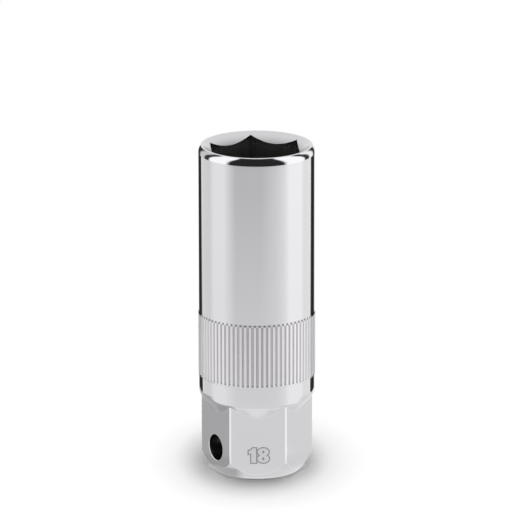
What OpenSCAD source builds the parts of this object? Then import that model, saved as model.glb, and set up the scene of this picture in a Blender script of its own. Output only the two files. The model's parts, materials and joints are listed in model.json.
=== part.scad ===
// Deep six-point socket for spark plugs, standing on its drive end with its mouth up.
// The axis is Z, the drive face lies at Z = 0 and the cross hole leaves along -X.

/* [Plug end] */
// Width across flats of the plug's hexagon
plug_af = 18; // [16:0.5:21]
// Depth of the hexagon below the mouth face
plug_depth = 22; // [16:1:26]
// Turn of the hexagon in the mouth against the flats at the drive end
plug_turn = 36; // [0:1:60]
// How far the lead-in cone opens beyond the hexagon's corners
lead_in = 0.6; // [0.2:0.1:0.8]
// Wall outside the corners of the hexagon
corner_wall = 1.6; // [1.5:0.1:3]

/* [Body] */
// Length from the drive face to the mouth face
socket_length = 69; // [62:1:90]
// Height of the rounded edge round the mouth
rim_height = 1.5; // [0.8:0.1:3]
// How far the rounded edge comes in at the mouth face
rim_inset = 0.55; // [0.2:0.05:0.7]

/* [Knurled band] */
// Length of the band along the body
knurl_length = 13.4; // [6:0.2:24]
// Plain stretch between the shoulder and the band
knurl_offset = 3.8; // [1:0.1:10]
// Number of straight grooves
knurl_count = 76; // [36:4:96]
// Depth of a groove below the crests
knurl_depth = 0.36; // [0.15:0.01:0.6]
// Width of the flat crest between two grooves
knurl_crest = 0.46; // [0.15:0.01:0.5]
// Width of the flat at the root of a groove
knurl_root = 0.12; // [0.06:0.01:0.2]
// Height of the crests above the plain body
knurl_rise = 0.08; // [0.04:0.01:0.2]

/* [Drive end] */
// Width across the outside flats for a spanner
wrench_af = 20; // [19:0.5:21]
// Height of the flats at their middle, up to the shoulder
wrench_height = 13.4; // [12:0.2:18]
// Rounding of the six upright edges
wrench_round = 0.5; // [0.4:0.1:1.5]
// Height of the shoulder cone
shoulder_height = 3.1; // [1.5:0.1:5]
// Radius of the rounded turn from the shoulder cone to the body
shoulder_round = 2.5; // [0.5:0.1:4]
// Height of the crowned end at the six upright edges
crown_height = 3.6; // [2:0.1:5]
// How far the crowned end comes in from the flats at the drive face
crown_inset = 0.9; // [0.4:0.1:1.2]
// Radius of the crowned end
crown_radius = 14; // [6:0.1:20]

/* [Drive square] */
// Width across the square that takes the ratchet
drive_af = 9.6; // [8.5:0.05:9.9]
// Depth of the square
drive_depth = 12; // [10:0.5:13]
// How far the lead-in cone opens beyond the square's corners
drive_lead = 0.2; // [0.1:0.1:0.6]
// Diameter of the cross hole for the ratchet's ball
detent_d = 5.4; // [3:0.1:6]
// Height of the cross hole above the drive face
detent_z = 5.6; // [5:0.1:7]
// Chamfer round the outside of the cross hole
detent_chamfer = 0.1; // [0.1:0.1:0.6]
// Width of the turned groove that takes the ball on the other sides
detent_groove_w = 2.4; // [1:0.2:4]
// Depth of the turned groove in the square's flats
detent_groove_depth = 0.7; // [0.3:0.1:1]

/* [Inside] */
// Diameter of the bore that holds the insert
insert_bore_d = 16.4; // [15.4:0.2:17]
// Bevel at the upper end of that bore, below the hexagon
neck_bevel = 0.5; // [0.2:0.1:0.7]
// Diameter of the bore for the plug's terminal
terminal_d = 14; // [13.8:0.1:14.6]
// Length of the insert
insert_length = 20; // [14:1:22]
// Clearance round the insert
insert_clearance = 0.1; // [0.05:0.05:0.2]
// Diameter of the insert's gripping lips
grip_d = 10.2; // [9:0.1:11]
// Number of gripping lips
lip_count = 3; // [2:1:4]
// Width of the relief groove between two lips
lip_gap = 1.6; // [1:0.2:2.4]
// Depth of the relief groove between two lips
lip_relief = 0.7; // [0.3:0.1:1]
// Width of the bead that snaps into the body's groove
bead_w = 3; // [2:0.5:5]
// Height of the bead above the sleeve
bead_h = 0.7; // [0.3:0.1:0.9]
// Bevel at the ends of the sleeve
sleeve_bevel = 0.6; // [0.3:0.1:1]
// Height of the funnel at the insert's upper end
funnel_height = 2.4; // [1:0.2:4]

/* [Hidden] */
$fn = 96;

// Overlap of a cutter past the face that it opens
past = 1;
// Slope of a drill point, whose full angle is 118 degrees
drill_slope = tan(90 - 118 / 2);

plug_corner_r = plug_af / 2 / cos(30);
lead_in_r = plug_corner_r + lead_in;
body_r = plug_corner_r + corner_wall;
rim_arc_r = (rim_inset * rim_inset + rim_height * rim_height) / (2 * rim_inset);
rim_z = socket_length - rim_height;

wrench_r = wrench_af / 2;
wrench_round_at = (wrench_r - wrench_round) / cos(30);
wrench_corner_r = wrench_round_at + wrench_round;
shoulder_top = wrench_height + shoulder_height;
shoulder_slope = atan2(body_r - wrench_r, shoulder_height);
shoulder_run = shoulder_round * tan(shoulder_slope / 2);
crown_base_r = wrench_r - crown_inset;
crown_chord = [wrench_corner_r - crown_base_r, crown_height];
crown_bow = sqrt(crown_radius * crown_radius - crown_chord * crown_chord / 4);
crown_at = [crown_base_r, 0] + crown_chord / 2
    + crown_bow * [-crown_chord[1], crown_chord[0]] / norm(crown_chord);

knurl_z = shoulder_top + knurl_offset;
knurl_crest_r = body_r + knurl_rise;
knurl_root_r = knurl_crest_r - knurl_depth;
knurl_pitch = 2 * PI * knurl_crest_r / knurl_count;

drive_lead_r = drive_af / sqrt(2) + drive_lead;
detent_groove_r = drive_af / 2 + detent_groove_depth;
terminal_r = terminal_d / 2;
bore_floor = drive_depth + (terminal_r - drive_af / 2) * drill_slope;

plug_floor = socket_length - plug_depth;
insert_bore_r = insert_bore_d / 2;
insert_r = insert_bore_r - insert_clearance;
neck_r = insert_bore_r + neck_bevel;
insert_top = plug_floor - neck_bevel;
seat_z = insert_top - insert_length;
grip_r = grip_d / 2;
lip_width = (insert_length - funnel_height - sleeve_bevel - (lip_count - 1) * lip_gap) / lip_count;
bead_z = seat_z + (insert_length - bead_w) / 2;

// Hexagon of a given width across flats with its six corners rounded
module rounded_hexagon(af, round_r) {
    inner_r = (af / 2 - round_r) / cos(30);
    rotate(30) circle(r = inner_r, $fn = 6);
    for (i = [0:2]) rotate(60 * i) square([af, inner_r], center = true);
    for (i = [0:5]) rotate(60 * i + 30) translate([inner_r, 0]) circle(r = round_r);
}

// Half section of the crowned end, a bowed edge that rises from the drive face to its widest point
module crown_section() {
    widest_r = crown_at[0] + crown_radius;
    intersection() {
        translate(crown_at) circle(r = crown_radius);
        square([widest_r, crown_at[1]]);
    }
    translate([0, crown_at[1]]) square([widest_r, shoulder_top - crown_at[1]]);
}

module wrench_end() {
    intersection() {
        linear_extrude(shoulder_top) rounded_hexagon(wrench_af, wrench_round);
        rotate_extrude() crown_section();
    }
}

// Half section of the round body, from the shoulder cone to the rounded mouth edge
module body_section() {
    cone_base = wrench_height - past * shoulder_height / (body_r - wrench_r);
    turn_z = shoulder_top + shoulder_run;
    polygon([
        [0, cone_base],
        [wrench_r - past, cone_base],
        [body_r, shoulder_top] - shoulder_run * [sin(shoulder_slope), cos(shoulder_slope)],
        [body_r, turn_z],
        [0, turn_z],
    ]);
    translate([body_r - shoulder_round, turn_z]) circle(r = shoulder_round);
    translate([0, turn_z]) square([body_r, rim_z - turn_z]);
    translate([0, rim_z]) square([body_r - rim_arc_r, rim_height]);
    intersection() {
        translate([body_r - rim_arc_r, rim_z]) circle(r = rim_arc_r);
        translate([body_r - rim_arc_r, rim_z]) square([rim_arc_r, rim_height]);
    }
}

// Half section of the raised band with bevelled ends
module band_section() {
    polygon([
        [body_r - past, knurl_z],
        [body_r, knurl_z],
        [knurl_crest_r, knurl_z + knurl_rise],
        [knurl_crest_r, knurl_z + knurl_length - knurl_rise],
        [body_r, knurl_z + knurl_length],
        [body_r - past, knurl_z + knurl_length],
    ]);
}

// Half section of the space that the grooves take, with sloping run-outs at both ends
module groove_section() {
    run_out = knurl_depth - knurl_rise;
    polygon([
        [knurl_root_r, knurl_z + 2 * run_out],
        [body_r, knurl_z + run_out],
        [body_r + past, knurl_z + run_out],
        [body_r + past, knurl_z + knurl_length - run_out],
        [body_r, knurl_z + knurl_length - run_out],
        [knurl_root_r, knurl_z + knurl_length - 2 * run_out],
    ]);
}

// Outline of one groove, from below its root to above the crests
module groove_outline() {
    flank_slope = (knurl_pitch - knurl_crest - knurl_root) / 2 / knurl_depth;
    below = knurl_root / 4 / flank_slope;
    inner_w = knurl_root / 4;
    outer_w = knurl_root / 2 + (knurl_depth + knurl_rise) * flank_slope;
    inner_r = knurl_root_r - below;
    outer_r = knurl_crest_r + knurl_rise;
    polygon([[inner_r, -inner_w], [outer_r, -outer_w], [outer_r, outer_w], [inner_r, inner_w]]);
}

module knurl_grooves() {
    intersection() {
        rotate_extrude() groove_section();
        translate([0, 0, knurl_z]) linear_extrude(knurl_length)
            for (i = [0:knurl_count - 1]) rotate(360 * (i + 0.5) / knurl_count) groove_outline();
    }
}

module mouth_cut() {
    rotate(plug_turn) translate([0, 0, plug_floor]) rotate(30)
        cylinder(r = plug_corner_r, h = plug_depth + past, $fn = 6);
    translate([0, 0, socket_length - lead_in_r]) cylinder(r1 = 0, r2 = lead_in_r, h = lead_in_r);
    translate([0, 0, socket_length]) cylinder(r = lead_in_r, h = past);
}

// Half section of the stepped bore: drill point, terminal bore, seat, groove and neck
module bore_section() {
    point_z = bore_floor - terminal_r * drill_slope;
    polygon([[0, point_z], [terminal_r, bore_floor], [0, bore_floor]]);
    translate([0, bore_floor]) square([terminal_r, seat_z - bore_floor]);
    translate([0, seat_z]) square([insert_bore_r, insert_length]);
    translate([0, bead_z - insert_clearance])
        square([insert_r + bead_h + insert_clearance, bead_w + 2 * insert_clearance]);
    polygon([[0, insert_top], [insert_bore_r, insert_top], [neck_r, plug_floor], [0, plug_floor]]);
}

module drive_cut() {
    translate([-drive_af / 2, -drive_af / 2, -past]) cube([drive_af, drive_af, bore_floor + past]);
    cylinder(r1 = drive_lead_r, r2 = 0, h = drive_lead_r);
    translate([0, 0, -past]) cylinder(r = drive_lead_r, h = past);
    translate([0, 0, detent_z - detent_groove_w / 2]) cylinder(r = detent_groove_r, h = detent_groove_w);
}

module detent_cut() {
    translate([0, 0, detent_z]) rotate([0, -90, 0]) {
        cylinder(d = detent_d, h = wrench_r + past);
        translate([0, 0, wrench_r - detent_chamfer])
            cylinder(r1 = detent_d / 2, r2 = detent_d / 2 + 2 * detent_chamfer, h = 2 * detent_chamfer);
    }
}

module socket_body() {
    color("gainsboro") difference() {
        union() {
            wrench_end();
            rotate_extrude() body_section();
            rotate_extrude() band_section();
        }
        knurl_grooves();
        mouth_cut();
        rotate_extrude() bore_section();
        drive_cut();
        detent_cut();
    }
}

// Half section of the sleeve with its bead, funnel and gripping lips
module sleeve_section() {
    difference() {
        union() {
            translate([grip_r, seat_z]) square([insert_r - grip_r, insert_length]);
            translate([grip_r, bead_z]) square([insert_r + bead_h - grip_r, bead_w]);
        }
        polygon([
            [grip_r, insert_top - funnel_height],
            [insert_r - sleeve_bevel, insert_top],
            [grip_r, insert_top],
        ]);
        polygon([
            [insert_r - sleeve_bevel, insert_top],
            [insert_r, insert_top - sleeve_bevel],
            [insert_r, insert_top],
        ]);
        polygon([[grip_r, seat_z], [grip_r + sleeve_bevel, seat_z], [grip_r, seat_z + sleeve_bevel]]);
        for (i = [1:lip_count - 1])
            translate([grip_r, seat_z + sleeve_bevel + i * lip_width + (i - 1) * lip_gap])
                square([lip_relief, lip_gap]);
    }
}

module rubber_insert() {
    color("dimgray") rotate_extrude() sleeve_section();
}

socket_body();
rubber_insert();
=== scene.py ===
"""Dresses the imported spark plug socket: chrome plate, size mark, rubber insert and a small studio."""

import json
import math

import bmesh
import bpy
from mathutils import Matrix, Vector


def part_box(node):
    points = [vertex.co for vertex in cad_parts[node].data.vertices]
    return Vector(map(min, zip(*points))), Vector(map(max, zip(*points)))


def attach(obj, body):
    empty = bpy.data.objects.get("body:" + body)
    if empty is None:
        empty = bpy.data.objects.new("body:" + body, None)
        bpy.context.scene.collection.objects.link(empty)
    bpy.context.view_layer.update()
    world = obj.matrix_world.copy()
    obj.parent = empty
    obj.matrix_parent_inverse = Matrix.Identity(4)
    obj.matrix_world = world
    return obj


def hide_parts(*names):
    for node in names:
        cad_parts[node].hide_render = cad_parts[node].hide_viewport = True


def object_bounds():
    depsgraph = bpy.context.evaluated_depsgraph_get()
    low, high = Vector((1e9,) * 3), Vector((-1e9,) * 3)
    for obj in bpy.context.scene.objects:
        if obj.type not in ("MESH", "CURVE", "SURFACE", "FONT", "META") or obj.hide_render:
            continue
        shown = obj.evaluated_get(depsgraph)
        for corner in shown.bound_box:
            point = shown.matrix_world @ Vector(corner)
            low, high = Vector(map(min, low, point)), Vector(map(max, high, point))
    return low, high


bl_info = {
    "name": "Spark Plug Socket Finish",
    "version": (1, 0, 0),
    "blender": (4, 5, 0),
    "location": "3D View > Sidebar > Socket",
    "description": "Plates the socket, marks its size, moulds its rubber insert and builds the studio",
    "category": "Object",
}

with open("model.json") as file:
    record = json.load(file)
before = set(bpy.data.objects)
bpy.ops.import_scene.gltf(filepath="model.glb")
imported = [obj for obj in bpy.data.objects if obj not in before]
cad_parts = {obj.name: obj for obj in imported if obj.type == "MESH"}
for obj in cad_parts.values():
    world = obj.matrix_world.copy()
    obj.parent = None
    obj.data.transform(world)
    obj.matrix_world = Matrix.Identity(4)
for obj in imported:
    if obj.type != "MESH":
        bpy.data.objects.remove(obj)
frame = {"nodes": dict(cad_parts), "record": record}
CAD_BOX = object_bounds()
MM = 0.001

NODES = frame["nodes"]
MOUNTS = {mount["name"]: mount for mount in frame["record"]["mounts"]}
BODY_POINTS = [vertex.co for vertex in NODES["socket_body"].data.vertices]


def off_axis(point):
    """Distance of a point from the socket's axis."""
    return math.hypot(point.x, point.y)


# Least height of the knurl's crests above the body, in metres
CREST_PROUD = 0.02 * MM

# Sizes of the steel body that the frame gives, in metres
LENGTH = CAD_BOX[1].z
BODY_R = max(off_axis(point) for point in BODY_POINTS if point.z > LENGTH / 2)
FLAT_R = abs(MOUNTS["spanner_hexagon"]["pos_m"][0])
CORNER_R = max(off_axis(point) for point in BODY_POINTS if point.z < MOUNTS["spanner_hexagon"]["pos_m"][2])
HOLE_R = MOUNTS["cross_hole"]["dims"]["r_mm"] * MM
HOLE_Z = MOUNTS["cross_hole"]["pos_m"][2]
KNURL_HEIGHTS = [point.z for point in BODY_POINTS if off_axis(point) > BODY_R + CREST_PROUD]
KNURL_LOW, KNURL_HIGH = min(KNURL_HEIGHTS), max(KNURL_HEIGHTS)

# Sizes of the rubber insert that the frame gives, in metres
INSERT_LOW, INSERT_HIGH = (corner.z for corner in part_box("rubber_insert"))
BEAD_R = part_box("rubber_insert")[1].x
GRIP_R = MOUNTS["insert_grip"]["dims"]["r_mm"] * MM
GRIP_LENGTH = MOUNTS["insert_grip"]["dims"]["length_mm"] * MM
GRIP_LOW = MOUNTS["insert_grip"]["pos_m"][2] - GRIP_LENGTH / 2


def length_prop(name, description, default):
    """A length in metres."""
    return bpy.props.FloatProperty(
        name=name, description=description, default=default, min=0, precision=5,
        subtype="DISTANCE", unit="LENGTH")


def share_prop(name, description, default):
    """A share from 0 to 1."""
    return bpy.props.FloatProperty(
        name=name, description=description, default=default, min=0, max=1, subtype="FACTOR")


def colour_prop(name, description, default):
    """A linear colour."""
    return bpy.props.FloatVectorProperty(
        name=name, description=description, default=default, min=0, max=1, size=3, subtype="COLOR")


def angle_prop(name, description, degrees):
    """An angle, given in degrees."""
    return bpy.props.FloatProperty(
        name=name, description=description, default=math.radians(degrees), subtype="ANGLE")


class SocketPlating(bpy.types.PropertyGroup):
    """Finish of the plated steel body."""

    colour: colour_prop("Plate colour", "Colour of the chrome plate", (0.64, 0.63, 0.65))
    # Painted highlight: edges and crests are painted lighter in this colour, standing in for the light they
    # catch; on the crests it also stands for polish by use
    edge_highlight_colour: colour_prop("Edge colour", "Colour of edges and crests, polished by use", (0.8, 0.79, 0.81))
    inside_colour: colour_prop("Inside colour", "Colour of the thin plate in the bores", (0.27, 0.265, 0.26))
    polish: share_prop("Polish", "Roughness of the turned and polished body", 0.05)
    satin: share_prop("Satin", "Roughness of the drive end", 0.12)
    dull: share_prop("Dull", "Roughness of the bores", 0.36)
    drive_end: length_prop("Drive end", "Height up to which the plate is satin", 15.5 * MM)
    edge: length_prop("Edge", "Radius of the plate over sharp edges", 0.12 * MM)
    # Painted highlight: width of the lighter band painted along the drive end's edges
    edge_highlight_width: length_prop("Worn edge", "Width of the polish along the edges of the drive end", 0.3 * MM)
    grooves: bpy.props.IntProperty(
        name="Grooves", description="Number of grooves in the knurled band", default=76, min=1)


class SocketMark(bpy.types.PropertyGroup):
    """Size number on a flat of the drive end."""

    height: length_prop("Height", "Height of the number inside its line", 3.15 * MM)
    line: length_prop("Line", "Width of the etched line round the number", 0.23 * MM)
    middle: length_prop("Middle", "Height of the number's middle above the drive face", 5.34 * MM)
    side: length_prop("Side", "How far right of the flat's middle the number sits", 0.17 * MM)
    face: angle_prop("Face", "Direction of the marked flat round the axis", 240)
    colour: colour_prop("Line colour", "Colour of the etched line", (0.3, 0.295, 0.3))


class SocketInsert(bpy.types.PropertyGroup):
    """Rubber insert in the bore."""

    bead_height: length_prop("Bead height", "How far the outer bead stands out", 0.7 * MM)
    bead_width: length_prop("Bead width", "Width of the outer bead", 3 * MM)
    lips: bpy.props.IntProperty(name="Lips", description="Number of gripping lips", default=3, min=1)
    lip_gap: length_prop("Lip gap", "Width of the groove between two lips", 1.6 * MM)
    lip_relief: length_prop("Lip relief", "Depth of the groove between two lips", 0.7 * MM)
    bevel: length_prop("Bevel", "Bevel of the outer top and inner bottom edges", 0.6 * MM)
    softness: length_prop("Softness", "Radius of the moulded edges", 0.28 * MM)
    colour: colour_prop("Rubber colour", "Colour of the rubber", (0.022, 0.022, 0.024))


class SocketStage(bpy.types.PropertyGroup):
    """Camera, floor and light."""

    azimuth: angle_prop("Azimuth", "Direction of the camera round the socket", -31.24)
    elevation: angle_prop("Elevation", "Height of the camera above the horizon", 15.9)
    roll: angle_prop("Roll", "Lean of the camera", -0.09)
    distance: length_prop("Distance", "From the camera to the socket's axis", 1.12)
    frame_width: length_prop("Frame width", "Width of the picture at the socket's axis", 105.43 * MM)
    aim_height: length_prop("Aim height", "Height of the point in the middle of the picture", 45.26 * MM)
    aim_side: length_prop("Aim side", "How far left of the axis the camera aims", 0.15 * MM)
    tent_radius: length_prop("Tent radius", "Radius of the light tent round the socket", 60 * MM)
    tent_height: length_prop("Tent height", "Height of the light tent", 144 * MM)
    lamp_power: bpy.props.FloatProperty(
        name="Lamp power", description="Power of the overhead lamp", default=3.1, min=0, unit="POWER")
    dome_level: share_prop("Dome level", "Light that the white room gives from all sides", 0.35)


def add_node(tree, kind, inputs=(), **settings):
    """Adds a shader node, with its settings and its unlinked or linked inputs."""
    node = tree.nodes.new(kind)
    for name, value in settings.items():
        setattr(node, name, value)
    for name, value in dict(inputs).items():
        if isinstance(value, bpy.types.NodeSocket):
            tree.links.new(value, node.inputs[name])
        else:
            node.inputs[name].default_value = value
    return node


def maths(tree, operation, *values):
    """A Math node's result."""
    return add_node(tree, "ShaderNodeMath", dict(enumerate(values)), operation=operation).outputs[0]


def ramp(tree, value, low, high):
    """0 at low, 1 at high, smooth between."""
    node = add_node(tree, "ShaderNodeMapRange", {"Value": value, "From Min": low, "From Max": high},
                    interpolation_type="SMOOTHSTEP")
    return node.outputs["Result"]


def fade(tree, value, limits, start=0):
    """0 at the first limit, 1 at the second, smooth between, with both counted from start."""
    return ramp(tree, value, start + limits[0], start + limits[1])


def product(tree, first, *others):
    """Product of masks."""
    for other in others:
        first = maths(tree, "MULTIPLY", first, other)
    return first


def blend(tree, factor, a, b):
    """A value between a and b."""
    return add_node(tree, "ShaderNodeMix", {0: factor, 2: a, 3: b}).outputs[0]


def blend_colour(tree, factor, a, b):
    """A colour between a and b."""
    return add_node(tree, "ShaderNodeMix", {0: factor, 6: a, 7: b}, data_type="RGBA").outputs[2]


def shaded(colour, share=1):
    """A colour with its alpha, at a share of its brightness."""
    return (*(share * part for part in colour), 1)


def noise(tree, place, stretch, detail=2.0):
    """Noise of about one feature a millimetre, with its own scale along X, Y and Z."""
    stretched = add_node(tree, "ShaderNodeMapping", {"Vector": place, "Scale": stretch}).outputs[0]
    grain = add_node(tree, "ShaderNodeTexNoise", {"Vector": stretched, "Scale": 1, "Detail": detail})
    return grain.outputs[0]


def millimetres(tree):
    """Object coordinates in millimetres."""
    place = add_node(tree, "ShaderNodeTexCoord").outputs["Object"]
    scaled = add_node(tree, "ShaderNodeMapping", {"Vector": place, "Scale": (1 / MM, 1 / MM, 1 / MM)})
    return scaled.outputs[0]


def distance_from(tree, a, b):
    """Length of the vector with two components a and b."""
    squares = maths(tree, "ADD", maths(tree, "MULTIPLY", a, a), maths(tree, "MULTIPLY", b, b))
    return maths(tree, "SQRT", squares)


def new_group(name, inputs, output):
    """A shader node group with a place and number inputs, and one mask as output."""
    tree = bpy.data.node_groups.new(name, "ShaderNodeTree")
    tree.interface.new_socket("Place", in_out="INPUT", socket_type="NodeSocketVector")
    for label, default in inputs.items():
        socket = tree.interface.new_socket(label, in_out="INPUT", socket_type="NodeSocketFloat")
        socket.default_value = default
    tree.interface.new_socket(output, in_out="OUTPUT", socket_type="NodeSocketFloat")
    source, target = tree.nodes.new("NodeGroupInput"), tree.nodes.new("NodeGroupOutput")
    return tree, source.outputs, target.inputs[output]


# Hairline scratches: their directions, and the scale and noise limits of the hairs and of their patches
HAIR_TURNS = ((0.3, 0.2, 0.1), (1.2, 0.5, 0.9), (0.7, 1.9, 2.3))
HAIR_SCALE, HAIR_LIMITS = (9, 9, 0.12), (0.68, 0.74)
HAIR_PATCH_SCALE, HAIR_PATCH_LIMITS = (0.22, 0.22, 0.22), (0.42, 0.62)
# The film that handling leaves: scale and noise limits of its clouds and mottling, and share of the mottling
CLOUD_SCALE, CLOUD_LIMITS = (0.13, 0.13, 0.09), (0.4, 0.68)
MOTTLE_SCALE, MOTTLE_LIMITS, MOTTLE_SHARE = (1.3, 1.3, 1.3), (0.3, 0.7), 0.35


def fine_scratches_group():
    """Sparse hairline scratches in three directions, strongest in patches."""
    tree, inputs, output = new_group("fine_scratches", {"Amount": 0.5}, "Scratches")
    lines = 0.0
    for turn in HAIR_TURNS:
        turned = add_node(tree, "ShaderNodeMapping", {"Vector": inputs["Place"], "Rotation": turn}).outputs[0]
        hairs = fade(tree, noise(tree, turned, HAIR_SCALE, detail=1.0), HAIR_LIMITS)
        lines = maths(tree, "MAXIMUM", lines, hairs)
    patches = fade(tree, noise(tree, inputs["Place"], HAIR_PATCH_SCALE), HAIR_PATCH_LIMITS)
    tree.links.new(product(tree, lines, patches, inputs["Amount"]), output)
    return tree


def handling_haze_group():
    """Soft cloudy film that handling leaves, with finer mottling in it."""
    tree, inputs, output = new_group("handling_haze", {"Amount": 0.5}, "Haze")
    clouds = fade(tree, noise(tree, inputs["Place"], CLOUD_SCALE, detail=3.0), CLOUD_LIMITS)
    mottle = fade(tree, noise(tree, inputs["Place"], MOTTLE_SCALE, detail=3.0), MOTTLE_LIMITS)
    film = product(tree, clouds, blend(tree, MOTTLE_SHARE, 1.0, mottle), inputs["Amount"])
    tree.links.new(film, output)
    return tree


def group_value(tree, name, maker, place, amount):
    """Places a shared node group in a material and gives its mask."""
    group = bpy.data.node_groups.get(name) or maker()
    node = add_node(tree, "ShaderNodeGroup", node_tree=group)
    tree.links.new(place, node.inputs["Place"])
    node.inputs["Amount"].default_value = amount
    return node.outputs[0]


def scratches(tree, place, amount):
    """Mask of the fine scratches."""
    return group_value(tree, "fine_scratches", fine_scratches_group, place, amount)


def haze(tree, place, amount):
    """Mask of the film that handling leaves."""
    return group_value(tree, "handling_haze", handling_haze_group, place, amount)


def new_material(name):
    """A material with only a Principled shader, and its tree and shader."""
    material = bpy.data.materials.new(name)
    material.use_nodes = True
    tree = material.node_tree
    return material, tree, next(node for node in tree.nodes if node.type == "BSDF_PRINCIPLED")


def show_shader(tree, node):
    """Makes a shader node the surface of its material."""
    output = next(other for other in tree.nodes if other.type == "OUTPUT_MATERIAL")
    tree.links.new(node.outputs[0], output.inputs["Surface"])


# Limits of the finishes, painted highlights and painted shade on the steel in millimetres, each from where
# its mask is 0 to where it is 1
MOUTH_FLOOR, BORE_WALL, BORE_END = (17, 18), (7.4, 7.2), (0.2, 1.2)
UPRIGHT_TOP, BASE_EDGE, BASE_EDGE_TOP = (15.9, 15.4), (8.6, 9), (0.55, 0.2)
# The same, counted from the flats, rim, cross hole, drive end, corners, ends of the band and body
MOUTH_WALL, MOUTH_TOP = (0.55, 0.35), (-0.4, -3)
HOLE_WALL, HOLE_END = (0.2, 0.1), (-0.2, -0.6)
DRIVE_TOP, UPRIGHT_EDGE = (1, -1), (-0.08, -0.02)
BAND_LOW, BAND_HIGH = (-0.05, 0.25), (0.05, -0.25)
CREST_FACE, CREST_END_FACE = (-0.02, 0.04), (-0.05, 0)
CREST_END_LOW, CREST_END_HIGH = (-0.3, -0.15), (0.3, 0.2)
# The same for the cosine of the turn within one groove, and of the angle between the true and the bevelled
# normal, which finds the edges that get the painted highlight
CREST_TURN, EDGE_HIGHLIGHT_TURN = (-0.3, 0.5), (0.998, 0.975)
# How far the crests and the edges are painted towards the lighter highlight colour (a painted highlight, on
# the crests also polish by use), and how far the film goes to its own
CREST_POLISH_AND_HIGHLIGHT, EDGE_HIGHLIGHT_SHARE, FILM_SHARE = 0.45, 0.5, 0.06
FILM_COLOUR = (0.5, 0.49, 0.48)
# Brightness of the painted shade at the crests' upper ends against the plate, of broach marks against the
# bores, and of the painted shade in the cross hole against the bores
CREST_END_PAINTED_SHADE, BROACH_SHADE, HOLE_PAINTED_SHADE = 0.4, 0.7, 0.4
# Roughness that the film, scratches, peel and broach marks add, and roughness of the knurled band
FILM_ROUGH, SCRATCH_ROUGH, PEEL_ROUGH, BROACH_ROUGH, BAND_ROUGH = 0.035, 0.12, 0.03, 0.08, 0.3
# Scale of the turning marks, the broach marks and the peel, and depth of all three in metres
TURNED_SCALE, BROACHED_SCALE, PEEL_SCALE = (0.05, 0.05, 3.2), (2.6, 2.6, 0.06), (0.7, 0.7, 0.7)
TOOL_MARKS = 0.0004 * MM


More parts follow.
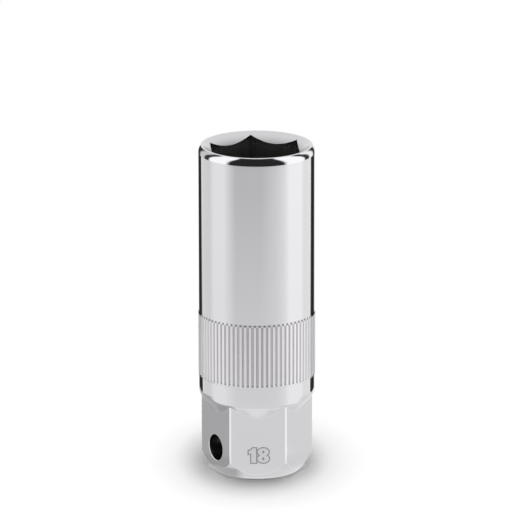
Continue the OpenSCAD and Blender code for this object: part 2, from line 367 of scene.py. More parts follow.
def plated_steel(settings):
    """Chrome plate: turned and polished body, satin drive end, painted highlights on edges and crests (on the
    crests also polish by use), painted shade at the crests' ends and in the cross hole, dull bores.
    """
    material, tree, shader = new_material("plated_steel")
    place = millimetres(tree)
    parts = add_node(tree, "ShaderNodeSeparateXYZ", {"Vector": place}).outputs
    x, y, z = parts["X"], parts["Y"], parts["Z"]
    radius = distance_from(tree, x, y)
    flat, corner, body, rim = FLAT_R / MM, CORNER_R / MM, BODY_R / MM, LENGTH / MM
    band_low, band_high = KNURL_LOW / MM, KNURL_HIGH / MM

    # Where the bores and the cross hole are
    mouth = product(tree, fade(tree, radius, MOUTH_WALL, flat), fade(tree, z, MOUTH_TOP, rim),
                    fade(tree, z, MOUTH_FLOOR))
    bore = product(tree, fade(tree, radius, BORE_WALL), fade(tree, z, BORE_END))
    from_hole = distance_from(tree, y, maths(tree, "SUBTRACT", z, HOLE_Z / MM))
    hole = product(tree, fade(tree, from_hole, HOLE_WALL, HOLE_R / MM),
                   fade(tree, maths(tree, "ABSOLUTE", x), HOLE_END, flat))
    inside = maths(tree, "MAXIMUM", maths(tree, "MAXIMUM", mouth, bore), hole)

    # Where the drive end is, and where its corners and edges get a painted highlight
    drive = fade(tree, z, DRIVE_TOP, settings.drive_end / MM)
    upright_highlight = product(tree, fade(tree, radius, UPRIGHT_EDGE, corner), fade(tree, z, UPRIGHT_TOP))
    base_edge_highlight = product(tree, fade(tree, z, BASE_EDGE_TOP), fade(tree, radius, BASE_EDGE))
    bevelled_normal = add_node(tree, "ShaderNodeBevel", {"Radius": settings.edge_highlight_width}, samples=8).outputs[0]
    true_normal = add_node(tree, "ShaderNodeNewGeometry").outputs["Normal"]
    turned_away = add_node(tree, "ShaderNodeVectorMath", {0: bevelled_normal, 1: true_normal},
                           operation="DOT_PRODUCT").outputs["Value"]
    # Painted highlight along the drive end's edges, found by the bevelled normal, and along the base edge
    worn = product(tree, fade(tree, turned_away, EDGE_HIGHLIGHT_TURN), maths(tree, "SUBTRACT", drive, inside))
    worn = maths(tree, "MULTIPLY", maths(tree, "MAXIMUM", base_edge_highlight, worn), EDGE_HIGHLIGHT_SHARE)
    polished = maths(tree, "MAXIMUM", upright_highlight, worn)

    # Where the knurled band, its crests and their upper ends are
    band = product(tree, fade(tree, z, BAND_LOW, band_low), fade(tree, z, BAND_HIGH, band_high))
    crests = product(tree, band, fade(tree, radius, CREST_FACE, body))
    turn = maths(tree, "MULTIPLY", maths(tree, "ARCTAN2", y, x), settings.grooves)
    crest_end_painted_shade = product(tree, fade(tree, maths(tree, "COSINE", turn), CREST_TURN),
                        fade(tree, z, CREST_END_LOW, band_high), fade(tree, z, CREST_END_HIGH, band_high),
                        fade(tree, radius, CREST_END_FACE, body))

    # Wear and tool marks
    film = haze(tree, place, 1.0)
    hairs = scratches(tree, place, 1.0)
    turned = noise(tree, place, TURNED_SCALE, detail=4.0)
    broached = noise(tree, place, BROACHED_SCALE, detail=3.0)
    peel = noise(tree, place, PEEL_SCALE)

    # Crests painted lighter: a painted highlight, and also polish by use
    plate = blend_colour(tree, maths(tree, "MULTIPLY", crests, CREST_POLISH_AND_HIGHLIGHT), shaded(settings.colour),
                         shaded(settings.edge_highlight_colour))
    # Painted shade: the crests' upper ends are painted darker
    plate = blend_colour(tree, crest_end_painted_shade, plate, shaded(settings.colour, CREST_END_PAINTED_SHADE))
    # Painted highlight: the upright corners, the base edge and the drive end's edges are painted lighter
    plate = blend_colour(tree, polished, plate, shaded(settings.edge_highlight_colour))
    plate = blend_colour(tree, maths(tree, "MULTIPLY", film, FILM_SHARE), plate, shaded(FILM_COLOUR))
    walls = blend_colour(tree, broached, shaded(settings.inside_colour, BROACH_SHADE),
                         shaded(settings.inside_colour))
    # Painted shade: the walls of the cross hole are painted darker
    walls = blend_colour(tree, hole, walls, shaded(settings.inside_colour, HOLE_PAINTED_SHADE))
    tree.links.new(blend_colour(tree, inside, plate, walls), shader.inputs["Base Color"])
    shader.inputs["Metallic"].default_value = 1

    polish = blend(tree, film, settings.polish, settings.polish + FILM_ROUGH)
    polish = blend(tree, hairs, polish, settings.polish + SCRATCH_ROUGH)
    satin = blend(tree, peel, settings.satin - PEEL_ROUGH, settings.satin + PEEL_ROUGH)
    dull = blend(tree, broached, settings.dull - BROACH_ROUGH, settings.dull + BROACH_ROUGH)
    outside = blend(tree, band, blend(tree, drive, polish, satin), BAND_ROUGH)
    tree.links.new(blend(tree, inside, outside, dull), shader.inputs["Roughness"])

    edges = add_node(tree, "ShaderNodeBevel", {"Radius": settings.edge}, samples=6).outputs[0]
    relief = blend(tree, inside, blend(tree, drive, turned, peel), broached)
    bump = add_node(tree, "ShaderNodeBump",
                    {"Height": relief, "Normal": edges, "Strength": 1, "Distance": TOOL_MARKS})
    tree.links.new(bump.outputs[0], shader.inputs["Normal"])
    return material


# The size mark: scale and dark side of its grain, and roughness that the grain, film and scratches add
MARK_GRAIN_SCALE, MARK_SHADE = (14, 14, 14), 0.85
MARK_GRAIN_ROUGH, MARK_FILM_ROUGH, MARK_SCRATCH_ROUGH = 0.03, 0.05, 0.1


def mark_material(name, colour, roughness):
    """Finish of the size mark: plate with a fine etched grain."""
    material, tree, shader = new_material(name)
    place = millimetres(tree)
    grain = noise(tree, place, MARK_GRAIN_SCALE)
    etched = blend_colour(tree, grain, shaded(colour, MARK_SHADE), shaded(colour))
    tree.links.new(etched, shader.inputs["Base Color"])
    shader.inputs["Metallic"].default_value = 1
    worn = maths(tree, "ADD", haze(tree, place, MARK_FILM_ROUGH), scratches(tree, place, MARK_SCRATCH_ROUGH))
    grainy = blend(tree, grain, roughness - MARK_GRAIN_ROUGH, roughness + MARK_GRAIN_ROUGH)
    tree.links.new(maths(tree, "ADD", worn, grainy), shader.inputs["Roughness"])
    return material


# The rubber: scale of its grain and of its pale patches, their brightness, amount and colour of the dust
RUBBER_GRAIN_SCALE, RUBBER_PATCH_SCALE = (5, 5, 5), (0.4, 0.4, 0.4)
RUBBER_PALE, DUST_AMOUNT, DUST_COLOUR = 1.7, 0.5, (0.11, 0.105, 0.1)
# Its least and most roughness, its shine, and the depth of its grain in metres
RUBBER_ROUGH, RUBBER_SHINE, RUBBER_GRAIN = (0.48, 0.72), 0.4, 0.012 * MM


def moulded_rubber(settings):
    """Matt black rubber with a fine mould grain and a film of dust."""
    material, tree, shader = new_material("moulded_rubber")
    place = millimetres(tree)
    grain = noise(tree, place, RUBBER_GRAIN_SCALE, detail=4.0)
    patches = noise(tree, place, RUBBER_PATCH_SCALE, detail=3.0)
    dust = maths(tree, "MULTIPLY", haze(tree, place, DUST_AMOUNT), grain)
    rubber = blend_colour(tree, patches, shaded(settings.colour), shaded(settings.colour, RUBBER_PALE))
    tree.links.new(blend_colour(tree, dust, rubber, shaded(DUST_COLOUR)), shader.inputs["Base Color"])
    tree.links.new(blend(tree, grain, *RUBBER_ROUGH), shader.inputs["Roughness"])
    bump = add_node(tree, "ShaderNodeBump", {"Height": grain, "Strength": 1, "Distance": RUBBER_GRAIN})
    tree.links.new(bump.outputs[0], shader.inputs["Normal"])
    shader.inputs["Specular IOR Level"].default_value = RUBBER_SHINE
    return material


class OBJECT_OT_socket_plate_body(bpy.types.Operator):
    """Plate the steel body"""

    bl_idname = "object.socket_plate_body"
    bl_label = "Plate Body"

    def execute(self, context):
        NODES["socket_body"].data.materials[0] = plated_steel(context.scene.socket_plating)
        return {"FINISHED"}


# Corners of a bold 1 of height 1, from its lower left: across, up, and where each moves as the figure grows
ONE_CORNERS = (
    (0.17, 0, -1, -1), (0.49, 0, 1, -1), (0.49, 1, 1, 1), (0.25, 1, -0.5, 1), (0.15, 0.87, -0.5, 0.9),
    (0, 0.82, -1, 0.9), (0, 0.6, -1, -1.2), (0.17, 0.65, -1, -1.2),
)
# Lobes and counters of a bold 8 of height 1: height of the middle, half height and half width
EIGHT_LOBES = ((0.27, 0.27, 0.385), (0.74, 0.26, 0.365))
EIGHT_COUNTERS = ((0.27, 0.105, 0.075), (0.74, 0.095, 0.07))


def figure_one(grow):
    """Outline of the 1, grown all round."""
    return [(x + grow * out_x, y + grow * out_y) for x, y, out_x, out_y in ONE_CORNERS]


def oval(middle_x, middle_y, half_width, half_height, steps=20):
    """Outline of a counter."""
    turns = (2 * math.pi * i / steps for i in range(steps))
    return [(middle_x + half_width * math.cos(turn), middle_y + half_height * math.sin(turn))
            for turn in turns]


def lobe_width(lobe, height, grow):
    """Half width at a height of one lobe of the 8, grown all round."""
    middle, half, width = lobe
    return (width + grow) * math.sqrt(max(0, 1 - ((height - middle) / (half + grow)) ** 2))


def figure_eight(middle_x, grow, steps=48):
    """Outline of the 8, two lobes that meet at a waist, grown all round."""
    heights = [0.5 - (0.5 + grow) * math.cos(math.pi * i / steps) for i in range(steps + 1)]
    widths = [max(lobe_width(lobe, height, grow) for lobe in EIGHT_LOBES) for height in heights]
    sides = list(zip(widths, heights))
    right_side = [(middle_x + width, height) for width, height in sides]
    left_side = [(middle_x - width, height) for width, height in reversed(sides[1:-1])]
    return right_side + left_side


# Points of the mark, and of the insert, that lie closer than this are one, in metres
MARK_MERGE, INSERT_MERGE = 1e-7, 0.001 * MM


def number_mesh(name, outlines, size, thickness):
    """Figures as a thin flat mesh in the XY plane."""
    curve = bpy.data.curves.new(name, "CURVE")
    curve.dimensions = "2D"
    curve.fill_mode = "BOTH"
    curve.extrude = thickness
    for outline in outlines:
        spline = curve.splines.new("POLY")
        spline.points.add(len(outline) - 1)
        for point, (across, up) in zip(spline.points, outline):
            point.co = (across * size, up * size, 0, 1)
        spline.use_cyclic_u = True
    piece = bpy.data.objects.new(name, curve)
    bpy.context.collection.objects.link(piece)
    bpy.ops.object.select_all(action="DESELECT")
    piece.select_set(True)
    bpy.context.view_layer.objects.active = piece
    bpy.ops.object.convert(target="MESH")
    bpy.ops.object.mode_set(mode="EDIT")
    bpy.ops.mesh.select_all(action="SELECT")
    bpy.ops.mesh.remove_doubles(threshold=MARK_MERGE)
    bpy.ops.mesh.normals_make_consistent(inside=False)
    bpy.ops.object.mode_set(mode="OBJECT")
    return bpy.context.object


class OBJECT_OT_socket_mark_size(bpy.types.Operator):
    """Etch the size number, 18, on its flat"""

    bl_idname = "object.socket_mark_size"
    bl_label = "Mark Size"

    EIGHT_MIDDLE = 0.96
    EIGHT_RIGHT = 1.345
    ONE_LINE_PROUD = 0.006 * MM
    EIGHT_LINE_PROUD = 0.008 * MM
    FACE_PROUD = 0.012 * MM
    LINE_ROUGH = 0.42
    FACE_ROUGHER = 0.02

    def execute(self, context):
        settings = context.scene.socket_mark
        plating = context.scene.socket_plating
        grow = settings.line / settings.height
        counters = [oval(self.EIGHT_MIDDLE, middle, width, half) for middle, half, width in EIGHT_COUNTERS]
        faces = [figure_one(0), figure_eight(self.EIGHT_MIDDLE, 0), *counters]
        etched = mark_material("etched_line", settings.colour, self.LINE_ROUGH)
        plated = mark_material("mark_face", plating.colour, plating.satin + self.FACE_ROUGHER)
        layers = (
            ("size_mark_line_1", [figure_one(grow)], self.ONE_LINE_PROUD, etched),
            ("size_mark_line_8", [figure_eight(self.EIGHT_MIDDLE, grow)], self.EIGHT_LINE_PROUD, etched),
            ("size_mark_face", faces, self.FACE_PROUD, plated),
        )
        out = Vector((math.cos(settings.face), math.sin(settings.face), 0))
        across = Vector((0, 0, 1)).cross(out)
        corner = out * FLAT_R + across * (settings.side - self.EIGHT_RIGHT * settings.height / 2)
        corner += Vector((0, 0, settings.middle - settings.height / 2))
        turn = Matrix((across, (0, 0, 1), out)).transposed().to_4x4()
        for name, outlines, proud, finish in layers:
            piece = number_mesh(name, outlines, settings.height, proud)
            piece.matrix_world = Matrix.Translation(corner) @ turn
            bpy.ops.object.transform_apply(location=True, rotation=True, scale=True)
            piece.data.materials.append(finish)
            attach(piece, "root")
        return {"FINISHED"}


def select_where(kind, wanted):
    """Selects the faces or edges of the mesh in edit mode whose middle is wanted, and nothing else."""
    bpy.ops.mesh.select_all(action="DESELECT")
    mesh = bpy.context.object.data
    form = bmesh.from_edit_mesh(mesh)
    for item in getattr(form, kind):
        corners = [vertex.co for vertex in item.verts]
        if wanted(sum(corners, Vector()) / len(corners)):
            item.select_set(True)
    bmesh.update_edit_mesh(mesh)


# Least angle between the two sides of a point at which an outline runs straight on
STRAIGHT = math.radians(179)


def select_straight():
    """Selects the points of the outline in edit mode at which it runs straight on."""
    bpy.ops.mesh.select_all(action="DESELECT")
    mesh = bpy.context.object.data
    form = bmesh.from_edit_mesh(mesh)
    for vertex in form.verts:
        sides = [edge.other_vert(vertex).co - vertex.co for edge in vertex.link_edges]
        vertex.select_set(sides[0].angle(sides[1]) > STRAIGHT)
    bmesh.update_edit_mesh(mesh)


def cut_section(place, across, trim=False):
    """Cuts the section in edit mode by a plane, and trims what lies beyond it."""
    bpy.ops.mesh.select_all(action="SELECT")
    bpy.ops.mesh.bisect(plane_co=place, plane_no=across, clear_outer=trim, threshold=INSERT_MERGE)


class OBJECT_OT_socket_mould_insert(bpy.types.Operator):
    """Mould the rubber insert in place of its plain solid"""

    bl_idname = "object.socket_mould_insert"
    bl_label = "Mould Insert"

    SPIN_STEPS = 96
    EDGE_STEPS = 4
    SMOOTH_BELOW = math.radians(35)

    def execute(self, context):
        settings = context.scene.socket_insert
        outer = BEAD_R - settings.bead_height
        sleeve_middle = (INSERT_LOW + INSERT_HIGH) / 2
        bead_half = settings.bead_width / 2

        # The wall's section as a strip beside the axis
        bpy.ops.object.select_all(action="DESELECT")
        bpy.ops.mesh.primitive_plane_add(
            size=1, rotation=(math.pi / 2, 0, 0), location=((GRIP_R + outer) / 2, 0, sleeve_middle))
        piece = context.object
        piece.name = "rubber_sleeve"
        piece.scale = (outer - GRIP_R, INSERT_HIGH - INSERT_LOW, 1)
        bpy.ops.object.transform_apply(location=True, rotation=True, scale=True)
        bpy.ops.object.mode_set(mode="EDIT")

        # Grooves between the lips
        groove_r = GRIP_R + settings.lip_relief
        lip = (GRIP_LENGTH - (settings.lips - 1) * settings.lip_gap) / settings.lips
        lip_tops = [GRIP_LOW + lip + i * (lip + settings.lip_gap) for i in range(settings.lips - 1)]
        cut_section((groove_r, 0, 0), (1, 0, 0))
        for top in lip_tops:
            cut_section((0, 0, top), (0, 0, 1))
            cut_section((0, 0, top + settings.lip_gap), (0, 0, 1))

        def in_groove(middle):
            between = any(top < middle.z < top + settings.lip_gap for top in lip_tops)
            return between and middle.x < groove_r

        select_where("faces", in_groove)
        bpy.ops.mesh.delete(type="FACE")

        # Bead that seats in the bore's groove
        for side in (-1, 1):
            cut_section((0, 0, sleeve_middle + side * bead_half), (0, 0, 1))

        def under_bead(middle):
            beside = abs(middle.z - sleeve_middle) < bead_half - INSERT_MERGE
            return beside and middle.x > outer - INSERT_MERGE

        select_where("edges", under_bead)
        bpy.ops.mesh.extrude_edges_move(TRANSFORM_OT_translate={"value": (settings.bead_height, 0, 0)})

        # Funnel at the top, bevels at the outer top and the inner bottom
        cut_section((GRIP_R, 0, GRIP_LOW + GRIP_LENGTH), (-1, 0, 1), trim=True)
        cut_section((outer - settings.bevel, 0, INSERT_HIGH), (1, 0, 1), trim=True)
        cut_section((GRIP_R + settings.bevel, 0, INSERT_LOW), (-1, 0, -1), trim=True)

        # One face, its corners softened, then only its outline is turned round the axis
        bpy.ops.mesh.select_all(action="SELECT")
        bpy.ops.mesh.dissolve_faces()
        select_straight()
        bpy.ops.mesh.dissolve_verts()
        bpy.ops.mesh.select_all(action="SELECT")
        bpy.ops.mesh.bevel(
            offset=settings.softness, segments=self.EDGE_STEPS, affect="VERTICES", clamp_overlap=True)
        bpy.ops.mesh.select_all(action="SELECT")
        bpy.ops.mesh.delete(type="ONLY_FACE")
        bpy.ops.mesh.select_all(action="SELECT")
        bpy.ops.mesh.spin(steps=self.SPIN_STEPS, angle=2 * math.pi, center=(0, 0, 0), axis=(0, 0, 1))
        bpy.ops.mesh.select_all(action="SELECT")
        bpy.ops.mesh.remove_doubles(threshold=INSERT_MERGE)
        bpy.ops.mesh.normals_make_consistent(inside=False)
        bpy.ops.object.mode_set(mode="OBJECT")
        bpy.ops.object.shade_smooth_by_angle(angle=self.SMOOTH_BELOW)

        piece.data.materials.append(moulded_rubber(settings))
        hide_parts("rubber_insert")
        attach(piece, "root")
        return {"FINISHED"}


# Panels of the studio: first and last direction, in degrees to the right of the camera, and brightness
# The wall of the tent at the floor
WALL_LOW = (
    (-180, -157, 1.0), (-154, -128, 0.03), (-125.5, -124.5, 1.15), (-121, -98, 0.94), (-86, -62, 1.13),
    (-38, 8, 0.97), (34, 34, 0.98), (50, 50, 1.06), (62, 90, 1.25), (98, 115, 1.1), (121, 121, 1.2),
    (124, 147, 0.03), (150, 180, 1.0),
)
# The wall at the height that the top of the body shows
WALL_HIGH = (
    (-180, -157, 1.0), (-154, -131.8, 0.03), (-128.8, -127.8, 1.15), (-124, -98, 0.94), (-86, -62, 1.15),
    (-38, 8, 0.73), (34, 34, 0.92), (50, 50, 1.08), (62, 90, 1.33), (98, 117, 1.15), (123.5, 123.5, 1.2),
    (126, 147, 0.03), (150, 180, 1.0),
)
# The wall above that, which the rim shows
WALL_UPPER = (
    (-180, -157, 1.0), (-154, -138, 0.04), (-130, -116, 0.85), (-111, -100, 0.06), (-95, -58, 1.5),
    (-50, 50, 0.03), (58, 97, 1.5), (102, 113, 0.06), (118, 130, 1.3), (138, 147, 0.04), (150, 180, 1.0),
)
# How much narrower the upper panels are at the top of the tent
UPPER_SQUEEZE = 1.35
# Heights on the wall in millimetres: where WALL_HIGH holds, where WALL_UPPER sets in and is squeezed, and
# where the top turns white behind the socket, which starts at BEHIND_FROM, in turns away from the camera
HIGH_AT, UPPER_FROM, SQUEEZE_FROM, TOP_FROM = 50, (54.5, 56), (56, 144), (100, 120)
BEHIND_FROM = (100 / 360, 105 / 360)

# Painted rings of glow on the floor, which only reflections see, from the socket's base outwards, as the
# steel mirrors them: the crown shows the first, the front of the shoulder cone the next two, its sides the
# fourth and the rounded turn above it the last
FLOOR_BASE = ((-180, -140, 0.97), (-110, -30, 0.57), (-16, 100, 0.98), (150, 180, 0.97))
FLOOR_FOOT = ((-180, -140, 0.97), (-100, -60, 0.62), (-44, 40, 0.92), (52, 100, 1.02), (150, 180, 0.97))
FLOOR_NEAR = ((-180, -140, 0.97), (-100, -60, 0.62), (-44, 40, 1.12), (52, 100, 1.02), (150, 180, 0.97))
FLOOR_SIDE = ((-180, -140, 0.97), (-100, -58, 0.48), (-44, 40, 1.0), (58, 105, 0.94), (150, 180, 0.97))
FLOOR_FAR = (
    (-180, -157, 0.97), (-150, -98, 0.56), (-86, -62, 1.13), (-38, 8, 0.97), (34, 34, 0.98), (50, 50, 1.06),
    (62, 82, 1.25), (97, 180, 0.97),
)
# Brightness of the floor's painted glow that the front flat and the left flat show
FLOOR_FRONT, FLOOR_LEFT = 0.97, 0.56
# Radii in millimetres between which one ring turns into the next, and the foot's edge across the view
BASE_TO_NEAR, NEAR_TO_SIDE, SIDE_TO_FAR, FLATS_TO_FAR = (11, 11.8), (13, 13.8), (17, 21), (19, 24)
FOOT_TO_NEAR = (11.5, 12.2)
# The fan of directions in which the left flat shows the floor, in degrees: how far its middle is turned
# beyond the mirrored view, its half width, and how far from its middle the front's floor and the far panels
# take over
FAN_TURN, FAN_HALF, FLATS_REACH, PANELS_REACH = 16, 17, 38, 23

# The paper's colour in the light, and where it is painted darkest as a shadow
PAPER, PAPER_IN_PAINTED_SHADOW = (0.95, 0.95, 0.95, 1), (0.66, 0.66, 0.66, 1)
# The painted shadow: how far behind and left of the axis its middle lies, in metres, how much longer than
# wide it is, and the radii in millimetres between which it fades in
SHADE_BEHIND, SHADE_LEFT, SHADE_STRETCH, SHADE_EDGE = 5.5 * MM, 1 * MM, 1.75, (17.2, 8.4)
# How much darker the paper is painted just in front of the base, as a painted shadow, and where this fades
# in, by radius and sideways
SHADE_BEFORE, BEFORE_RADIUS, BEFORE_ASIDE = 0.17, (17, 11), (9, 3)
# Painted glow on the paper, standing in for light that the steel throws back, beside its base, in the same
# way, and under its overhanging corners, by the distance from the axis across the flats
PAINTED_BOUNCE, BESIDE_RADIUS, BESIDE_ASIDE = 0.17, (13, 9.5), (4, 9)
PAINTED_BOUNCE_UNDER, UNDER_FLATS = 0.24, (10.5, 8.4)
# Radii in millimetres between which the paper turns white to the camera
WHITE_FROM = (25, 70)


def panel_ramp(tree, around, panels):
    """Brightness of a ring of panels, where around runs from 0 to 1 and the camera is at 0.5."""
    node = add_node(tree, "ShaderNodeValToRGB", {"Fac": around})
    brightest = max(level for _, _, level in panels)
    edges = [(edge, level) for first, last, level in panels for edge in sorted({first, last})]
    stops = node.color_ramp.elements
    for _ in range(len(edges) - len(stops)):
        stops.new(0.5)
    for stop, (direction, level) in zip(stops, edges):
        stop.position = 0.5 + direction / 360
        stop.color = (level / brightest, level / brightest, level / brightest, 1)
    return maths(tree, "MULTIPLY", node.outputs["Color"], brightest)


def ring_place(tree):
    """Object coordinates of a stage piece, their parts, and its direction round the axis from 0 to 1."""
    place = add_node(tree, "ShaderNodeTexCoord").outputs["Object"]
    around = add_node(tree, "ShaderNodeTexGradient", {"Vector": place}, gradient_type="RADIAL").outputs["Fac"]
    return place, add_node(tree, "ShaderNodeSeparateXYZ", {"Vector": place}).outputs, around


def off_middle(tree, around):
    """Turns between a direction and 0.5, the middle of a full turn."""
    return maths(tree, "ABSOLUTE", maths(tree, "SUBTRACT", around, 0.5))


def left_flat_floor(tree, place, left_flat, front_flat, reach):
    """1 in the fan of floor that the left flat mirrors to the camera, fading to 0 at reach degrees."""
    corner_turn = (left_flat + front_flat) / 2
    corner_r = FLAT_R / math.cos((front_flat - left_flat) / 2)
    corner = Vector((corner_r * math.cos(corner_turn), corner_r * math.sin(corner_turn), 0))
    moved = add_node(tree, "ShaderNodeMapping", {"Vector": place, "Location": -corner}).outputs[0]
    middle = 2 * left_flat - math.radians(FAN_TURN)
    turned = add_node(tree, "ShaderNodeMapping", {"Vector": moved, "Rotation": (0, 0, -middle)}).outputs[0]
    fan = add_node(tree, "ShaderNodeTexGradient", {"Vector": turned}, gradient_type="RADIAL").outputs["Fac"]
    return ramp(tree, off_middle(tree, fan), reach / 360, FAN_HALF / 360)


def tent_material():
    """White and black panels of the light tent, which only reflections show."""
    material, tree, shader = new_material("light_tent")
    tree.nodes.remove(shader)
    _, parts, around = ring_place(tree)
    height = maths(tree, "DIVIDE", parts["Z"], MM)
    lower = blend(tree, maths(tree, "DIVIDE", height, HIGH_AT), panel_ramp(tree, around, WALL_LOW),
                  panel_ramp(tree, around, WALL_HIGH))
    squeeze = blend(tree, fade(tree, height, SQUEEZE_FROM), 1.0, UPPER_SQUEEZE)
    squeezed = maths(tree, "MULTIPLY", maths(tree, "SUBTRACT", around, 0.5), squeeze)
    upper = panel_ramp(tree, maths(tree, "ADD", squeezed, 0.5), WALL_UPPER)
    level = blend(tree, fade(tree, height, UPPER_FROM), lower, upper)
    behind = fade(tree, off_middle(tree, around), BEHIND_FROM)
    level = blend(tree, product(tree, fade(tree, height, TOP_FROM), behind), level, 1.0)
    show_shader(tree, add_node(tree, "ShaderNodeEmission", {"Strength": level}))
    return material


def floor_material(front_flat):
    """White paper that takes the shadow and carries a painted shadow and a painted glow round the base, and
    that reflections show as painted rings of glow, fitted to the front flat.
    """
    material, tree, shader = new_material("floor_paper")
    shader.inputs["Roughness"].default_value = 1
    shader.inputs["Specular IOR Level"].default_value = 0
    shader.inputs["Emission Color"].default_value = (1, 1, 1, 1)
    place, parts, around = ring_place(tree)
    radius = maths(tree, "DIVIDE", distance_from(tree, parts["X"], parts["Y"]), MM)
    ahead = maths(tree, "DIVIDE", parts["X"], MM)
    aside = maths(tree, "DIVIDE", maths(tree, "ABSOLUTE", parts["Y"]), MM)
    left_flat, right_flat = front_flat - math.pi / 3, front_flat + math.pi / 3

    # The painted rings of glow that reflections show
    near = blend(tree, fade(tree, ahead, FOOT_TO_NEAR), panel_ramp(tree, around, FLOOR_FOOT),
                 panel_ramp(tree, around, FLOOR_NEAR))
    near = blend(tree, fade(tree, radius, BASE_TO_NEAR), panel_ramp(tree, around, FLOOR_BASE), near)
    near = blend(tree, fade(tree, radius, NEAR_TO_SIDE), near, panel_ramp(tree, around, FLOOR_SIDE))
    by_left = left_flat_floor(tree, place, left_flat, front_flat, FLATS_REACH)
    flats = blend(tree, by_left, FLOOR_FRONT, FLOOR_LEFT)
    far = blend(tree, fade(tree, radius, FLATS_TO_FAR), flats, panel_ramp(tree, around, FLOOR_FAR))
    far = blend(tree, left_flat_floor(tree, place, left_flat, front_flat, PANELS_REACH), far, FLOOR_LEFT)
    painted_reflection = blend(tree, fade(tree, radius, SIDE_TO_FAR), near, far)

    # The paper, painted darker close to the socket as a shadow
    depth = maths(tree, "DIVIDE", maths(tree, "ADD", parts["X"], SHADE_BEHIND), SHADE_STRETCH)
    across = maths(tree, "ADD", parts["Y"], SHADE_LEFT)
    from_middle = maths(tree, "DIVIDE", distance_from(tree, across, depth), MM)
    paper = blend_colour(tree, fade(tree, from_middle, SHADE_EDGE), PAPER, PAPER_IN_PAINTED_SHADOW)
    before = product(tree, fade(tree, radius, BEFORE_RADIUS), fade(tree, aside, BEFORE_ASIDE), SHADE_BEFORE)
    # Painted shadow: the paper is painted darker just in front of the base
    paper = blend_colour(tree, before, paper, (0, 0, 0, 1))
    tree.links.new(paper, shader.inputs["Base Color"])

    # Painted glow on it, standing in for the light that the steel throws back
    beside = product(tree, fade(tree, radius, BESIDE_RADIUS), fade(tree, aside, BESIDE_ASIDE), PAINTED_BOUNCE)
    across_flats = 0.0
    for flat in (left_flat, front_flat, right_flat):
        x = maths(tree, "MULTIPLY", parts["X"], math.cos(flat) / MM)
        y = maths(tree, "MULTIPLY", parts["Y"], math.sin(flat) / MM)
        across_flats = maths(tree, "MAXIMUM", across_flats, maths(tree, "ABSOLUTE", maths(tree, "ADD", x, y)))
    under = maths(tree, "MULTIPLY", fade(tree, across_flats, UNDER_FLATS), PAINTED_BOUNCE_UNDER)
    tree.links.new(maths(tree, "ADD", beside, under), shader.inputs["Emission Strength"])

    # White beyond the shadow
    rays = add_node(tree, "ShaderNodeLightPath").outputs
    beyond = maths(tree, "MULTIPLY", rays["Is Camera Ray"], fade(tree, radius, WHITE_FROM))
    glowing = maths(tree, "MAXIMUM", rays["Is Glossy Ray"], beyond)
    level = blend(tree, rays["Is Glossy Ray"], 1.0, painted_reflection)
    glow = add_node(tree, "ShaderNodeEmission", {"Strength": level})
    mixed = add_node(tree, "ShaderNodeMixShader", {0: glowing, 1: shader.outputs[0], 2: glow.outputs[0]})
    show_shader(tree, mixed)
    return material


def white_room(dome_level):
    """A world that the camera and reflections see white."""
    world = bpy.data.worlds.new("white_room")
    world.use_nodes = True
    tree = world.node_tree
    background = next(node for node in tree.nodes if node.type == "BACKGROUND")
    background.inputs["Color"].default_value = (1, 1, 1, 1)
    rays = add_node(tree, "ShaderNodeLightPath").outputs
    seen = maths(tree, "MAXIMUM", rays["Is Camera Ray"], rays["Is Glossy Ray"])
    seen = maths(tree, "MAXIMUM", seen, rays["Is Transmission Ray"])
    tree.links.new(blend(tree, seen, dome_level, 1.0), background.inputs["Strength"])
    return world


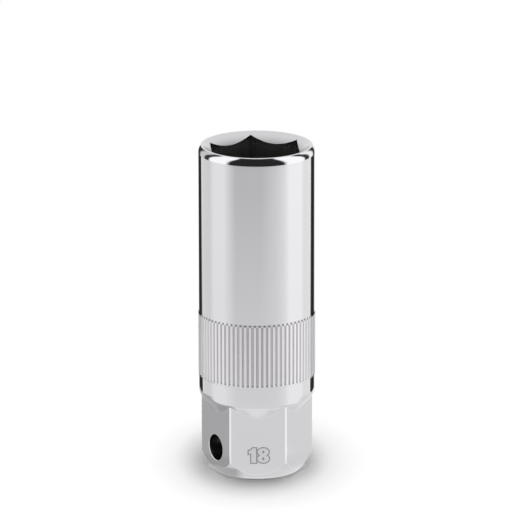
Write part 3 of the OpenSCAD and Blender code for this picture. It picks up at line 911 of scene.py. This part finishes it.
class SCENE_OT_socket_build_stage(bpy.types.Operator):
    """Build the floor, light tent, lamp and camera"""

    bl_idname = "scene.socket_build_stage"
    bl_label = "Build Stage"

    FLOOR_RADIUS = 1.2
    FLOOR_SIDES = 96
    TENT_SIDES = 128
    SENSOR_WIDTH = 36
    LAMP_HEIGHT = 0.6
    LAMP_BEFORE = 0.04
    LAMP_WIDTH = 0.21
    LAMP_DEPTH = 0.48

    def execute(self, context):
        settings = context.scene.socket_stage
        azimuth, elevation = settings.azimuth, settings.elevation
        toward = Vector((math.sin(azimuth), -math.cos(azimuth), 0))
        right = Vector((math.cos(azimuth), math.sin(azimuth), 0))
        back = toward * math.cos(elevation) + Vector((0, 0, math.sin(elevation)))
        facing = math.atan2(toward.y, toward.x)

        bpy.ops.object.select_all(action="DESELECT")
        bpy.ops.mesh.primitive_circle_add(
            vertices=self.FLOOR_SIDES, radius=self.FLOOR_RADIUS, fill_type="NGON", rotation=(0, 0, facing))
        floor = context.object
        floor.name = "floor"
        front_flat = math.remainder(context.scene.socket_mark.face - facing, 2 * math.pi)
        floor.data.materials.append(floor_material(front_flat))

        bpy.ops.mesh.primitive_cylinder_add(
            vertices=self.TENT_SIDES, radius=settings.tent_radius, depth=settings.tent_height,
            end_fill_type="NOTHING", location=(0, 0, settings.tent_height / 2))
        bpy.ops.object.transform_apply(location=True, rotation=False, scale=False)
        tent = context.object
        tent.name = "light_tent"
        tent.rotation_euler.z = facing
        tent.data.materials.append(tent_material())
        tent.visible_camera = False
        tent.visible_shadow = False
        tent.visible_diffuse = False
        tent.visible_transmission = False

        scene = context.scene
        scene.world = white_room(settings.dome_level)
        scene.cycles.caustics_reflective = False
        scene.view_settings.view_transform = "Standard"

        lamp_place = Vector((0, 0, self.LAMP_HEIGHT)) + toward * self.LAMP_BEFORE
        bpy.ops.object.light_add(type="AREA", location=lamp_place, rotation=(0, 0, facing))
        lamp = context.object
        lamp.data.shape = "ELLIPSE"
        lamp.data.size = self.LAMP_DEPTH
        lamp.data.size_y = self.LAMP_WIDTH
        lamp.data.energy = settings.lamp_power
        lamp.visible_glossy = False
        lamp.visible_camera = False

        aim = Vector((0, 0, settings.aim_height)) - right * settings.aim_side
        bpy.ops.object.camera_add(location=aim + back * settings.distance)
        camera = context.object
        level = (-back).to_track_quat("-Z", "Y").to_matrix()
        camera.rotation_euler = (level @ Matrix.Rotation(settings.roll, 3, "Z")).to_euler()
        camera.data.sensor_width = self.SENSOR_WIDTH
        camera.data.lens = camera.data.sensor_width * settings.distance / settings.frame_width
        scene.camera = camera
        return {"FINISHED"}


SETTINGS = {
    "socket_plating": SocketPlating,
    "socket_mark": SocketMark,
    "socket_insert": SocketInsert,
    "socket_stage": SocketStage,
}
STEPS = (
    ("socket_plating", OBJECT_OT_socket_plate_body),
    ("socket_mark", OBJECT_OT_socket_mark_size),
    ("socket_insert", OBJECT_OT_socket_mould_insert),
    ("socket_stage", SCENE_OT_socket_build_stage),
)


class VIEW3D_PT_socket(bpy.types.Panel):
    """Lists the socket's settings and operators"""

    bl_label = "Spark Plug Socket"
    bl_space_type = "VIEW_3D"
    bl_region_type = "UI"
    bl_category = "Socket"

    def draw(self, context):
        for settings, operator in STEPS:
            box = self.layout.box()
            for name in SETTINGS[settings].__annotations__:
                box.prop(getattr(context.scene, settings), name)
            box.operator(operator.bl_idname)


CLASSES = (*SETTINGS.values(), *(operator for _, operator in STEPS), VIEW3D_PT_socket)


def register():
    """Registers the classes and gives scenes their settings."""
    for cls in CLASSES:
        bpy.utils.register_class(cls)
    for name, cls in SETTINGS.items():
        setattr(bpy.types.Scene, name, bpy.props.PointerProperty(type=cls))


def unregister():
    """Takes the settings and the classes away again."""
    for name in SETTINGS:
        delattr(bpy.types.Scene, name)
    for cls in reversed(CLASSES):
        bpy.utils.unregister_class(cls)


def main():
    register()
    bpy.ops.object.socket_plate_body()
    bpy.ops.object.socket_mark_size()
    bpy.ops.object.socket_mould_insert()
    bpy.ops.scene.socket_build_stage()


if __name__ == "__main__":
    main()
